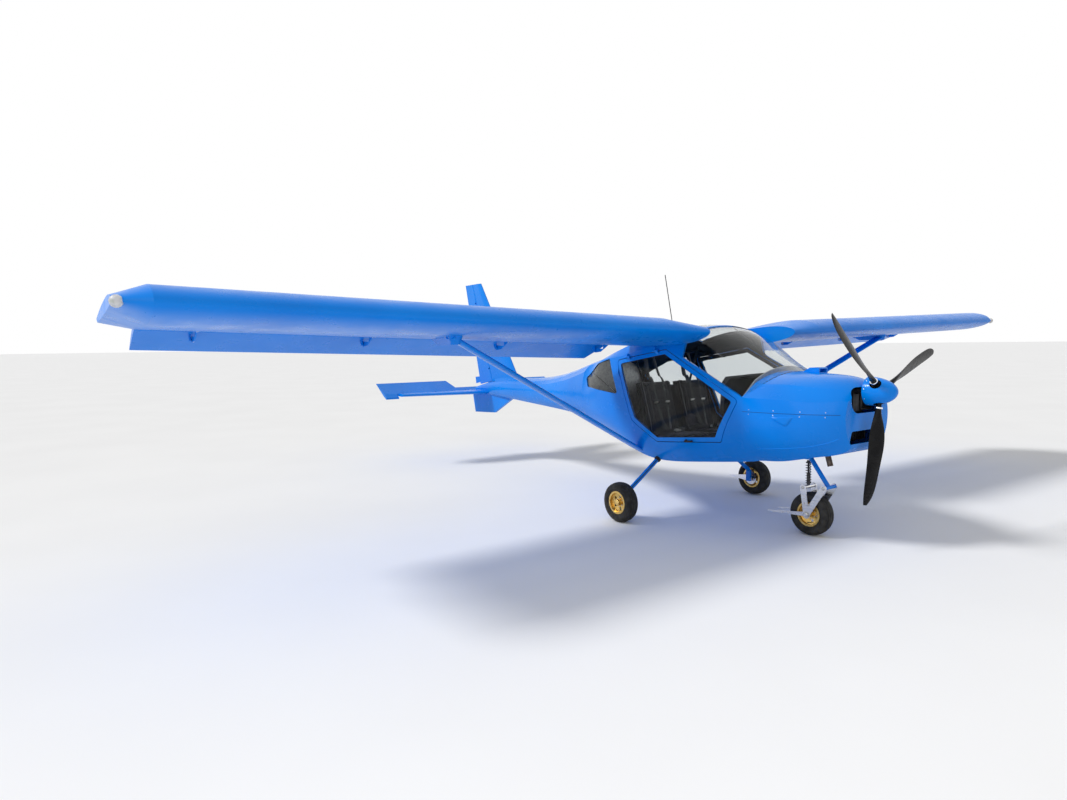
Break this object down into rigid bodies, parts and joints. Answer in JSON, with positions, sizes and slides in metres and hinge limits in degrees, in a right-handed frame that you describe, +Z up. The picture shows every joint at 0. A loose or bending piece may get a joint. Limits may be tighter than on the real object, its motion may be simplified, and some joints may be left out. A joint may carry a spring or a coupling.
{
  "type": "two-seat high-wing ultralight aircraft",
  "caption": "High-wing two-seat ultralight aircraft on tricycle gear, with strut-braced wings, flaperons, upward-opening doors and a tractor propeller.",
  "frame": {"origin": "on the ground below the middle of the length and span, where the bounding box's bottom is centred", "axes": "+X forward to the spinner, +Y to port, +Z up"},
  "size_m": [6.231, 9.57, 2.4179],
  "materials": {
    "blue_paint": "glossy azure blue paint",
    "clear_glazing": "clear, lightly grey tinted acrylic",
    "lamp_lens": "clear lamp dome",
    "bare_metal": "satin bare metal",
    "polished_plate": "bright brushed aluminium",
    "engine_metal": "dark cast metal",
    "exhaust_steel": "heat stained steel",
    "tyre_rubber": "matt black rubber",
    "gold_rim": "gold satin",
    "black_composite": "semi gloss black composite",
    "seat_leather": "black stitched upholstery",
    "black_plastic": "matt black"
  },
  "bodies": {
    "root": {"antenna": "black_plastic", "belly_pan": "blue_paint", "cabin_tubes": "black_plastic", "control_stick": "black_plastic", "cowling_lower": "blue_paint", "cowling_upper": "blue_paint", "engine_block": "engine_metal", "exhaust_stub": "exhaust_steel", "fin": "blue_paint", "firewall": "bare_metal", "instrument_panel": "black_plastic", "main_leg_left": "blue_paint", "main_leg_right": "blue_paint", "mud_plate_left": "polished_plate", "mud_plate_right": "polished_plate", "nav_light_left": "lamp_lens", "nav_light_right": "lamp_lens", "quarter_windows": "clear_glazing", "rear_bulkhead": "bare_metal", "rear_deck": "blue_paint", "roof_frame": "blue_paint", "roof_window": "clear_glazing", "seat_back_left": "seat_leather", "seat_back_right": "seat_leather", "seat_frames": "black_plastic", "seat_pan_left": "seat_leather", "seat_pan_right": "seat_leather", "side_front_left": "blue_paint", "side_front_right": "blue_paint", "side_rear_left": "blue_paint", "side_rear_right": "blue_paint", "steering_bearing": "bare_metal", "strut_left": "blue_paint", "strut_right": "blue_paint", "tail_cone": "blue_paint", "tailplane": "blue_paint", "ventral_fin": "blue_paint", "windscreen": "clear_glazing", "wing_left": "blue_paint", "wing_right": "blue_paint"},
    "propeller": {"propeller_blades": "black_composite", "spinner": "blue_paint"},
    "nose_gear": {"nose_leg": "blue_paint", "nose_fork": "polished_plate", "nose_damper": "bare_metal"},
    "nose_wheel": {"tyre_nose": "tyre_rubber", "rim_nose": "gold_rim"},
    "main_wheel_right": {"tyre_main_right": "tyre_rubber", "rim_main_right": "gold_rim"},
    "main_wheel_left": {"tyre_main_left": "tyre_rubber", "rim_main_left": "gold_rim"},
    "door_right": {"door_frame_right": "blue_paint", "door_glass_right": "clear_glazing"},
    "door_left": {"door_frame_left": "blue_paint", "door_glass_left": "clear_glazing"},
    "rudder": {"rudder": "blue_paint"},
    "elevator": {"elevator": "blue_paint"},
    "flaperon_right": {"flaperon_right": "blue_paint"},
    "flaperon_left": {"flaperon_left": "blue_paint"}
  },
  "joints": [
    {"name": "propeller_turn", "type": "hinge", "parent": "root", "child": "propeller", "pos_m": [2.988, 0, 1.195], "axis": [1, 0, 0], "continuous": true},
    {"name": "nose_steer", "type": "hinge", "parent": "root", "child": "nose_gear", "pos_m": [2.42, 0, 0.7], "axis": [0, 0, 1], "range_deg": [-15, 15]},
    {"name": "nose_wheel_roll", "type": "hinge", "parent": "nose_gear", "child": "nose_wheel", "pos_m": [2.446, 0, 0.176], "axis": [0, 1, 0], "continuous": true},
    {"name": "main_wheel_right_roll", "type": "hinge", "parent": "root", "child": "main_wheel_right", "pos_m": [1.18, -0.93, 0.176], "axis": [0, 1, 0], "continuous": true},
    {"name": "main_wheel_left_roll", "type": "hinge", "parent": "root", "child": "main_wheel_left", "pos_m": [1.18, 0.93, 0.176], "axis": [0, 1, 0], "continuous": true},
    {"name": "door_right_open", "type": "hinge", "parent": "root", "child": "door_right", "pos_m": [0.735, -0.578, 1.42], "axis": [-0.987, 0.0218, -0.159], "range_deg": [0, 80]},
    {"name": "door_left_open", "type": "hinge", "parent": "root", "child": "door_left", "pos_m": [0.735, 0.578, 1.42], "axis": [0.987, 0.0218, 0.159], "range_deg": [0, 80]},
    {"name": "rudder_turn", "type": "hinge", "parent": "root", "child": "rudder", "pos_m": [-2.364, 0, 0.98], "axis": [-0.3435, 0, 0.9391], "range_deg": [-25, 25]},
    {"name": "elevator_turn", "type": "hinge", "parent": "root", "child": "elevator", "pos_m": [-2.86, 0, 0.93], "axis": [0, 1, 0], "range_deg": [-42, 3]},
    {"name": "flaperon_right_turn", "type": "hinge", "parent": "root", "child": "flaperon_right", "pos_m": [0.78081, -2.5, 1.56835], "axis": [0, 0.9994, -0.0349], "range_deg": [-12, 25]},
    {"name": "flaperon_left_turn", "type": "hinge", "parent": "root", "child": "flaperon_left", "pos_m": [0.78081, 2.5, 1.56835], "axis": [0, 0.9994, 0.0349], "range_deg": [-12, 25]}
  ],
  "couplings": [
    {"joint": "nose_steer", "follows": "rudder_turn", "ratio": -0.6}
  ]
}
